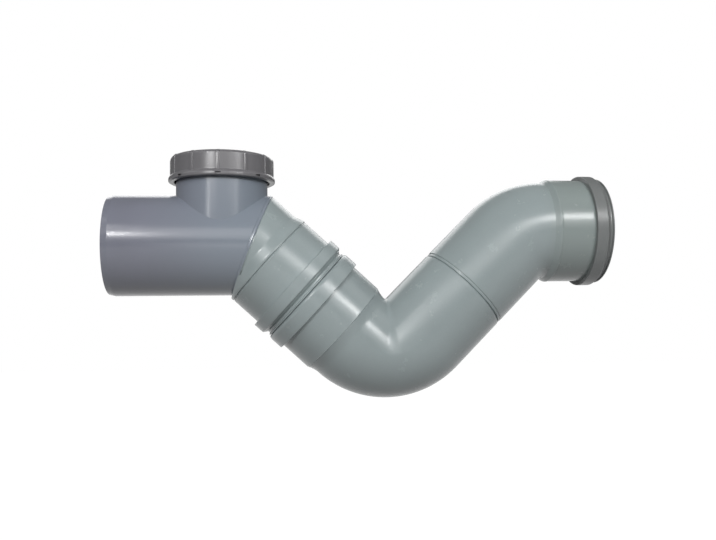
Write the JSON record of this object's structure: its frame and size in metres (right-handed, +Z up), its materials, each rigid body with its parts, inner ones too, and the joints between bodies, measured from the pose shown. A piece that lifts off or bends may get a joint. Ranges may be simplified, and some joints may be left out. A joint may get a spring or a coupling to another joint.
{
  "type": "inline pipe trap",
  "caption": "Inline waste-pipe trap with a ring-seal inlet socket, a sharp knuckle, an inclined limb joined by facing sockets, and a capped cleaning neck over the plain outlet end.",
  "frame": {"origin": "on the outlet pipe's axis, 30 mm in from its plain end face, in the middle of the 60 mm that the next fitting's socket grips", "axes": "+X along the outlet pipe towards the trap, +Z up along the cleaning neck, and the inlet's axis parallel to X and 17 mm higher"},
  "size_m": [0.5478, 0.126, 0.2668],
  "materials": {
    "pipe_grey": "satin purplish grey unplasticised PVC",
    "fitting_grey": "satin greenish grey unplasticised PVC",
    "ring_grey": "satin neutral grey plastic",
    "cap_grey": "satin dark grey plastic",
    "seal_rubber": "matt black"
  },
  "bodies": {
    "trap": {"outlet_pipe": "pipe_grey", "limb_socket": "fitting_grey", "limb_retainer": "fitting_grey", "limb_seal": "seal_rubber", "connecting_pipe": "pipe_grey"},
    "inlet_half": {"trap_bend": "fitting_grey", "knuckle_retainer": "fitting_grey", "knuckle_seal": "seal_rubber", "inlet_bend": "fitting_grey", "inlet_seal": "seal_rubber", "inlet_retainer": "ring_grey"},
    "cap_seal": {"cap_gasket": "seal_rubber"},
    "cap": {"access_cap": "cap_grey"}
  },
  "joints": [
    {"name": "swivel", "type": "hinge", "parent": "trap", "child": "inlet_half", "pos_m": [0.1235, 0, 0], "axis": [0.7373, 0, -0.6756], "continuous": true},
    {"name": "cap_lift", "type": "slide", "parent": "trap", "child": "cap_seal", "axis": [0, 0, 1], "range_m": [0, 0.018]},
    {"name": "cap_turn", "type": "hinge", "parent": "cap_seal", "child": "cap", "pos_m": [0.0905, 0, 0.08], "axis": [0, 0, 1], "range_deg": [0, 1080]}
  ],
  "couplings": [
    {"joint": "cap_lift", "follows": "cap_turn", "m_per_rad": 0.00095493}
  ]
}
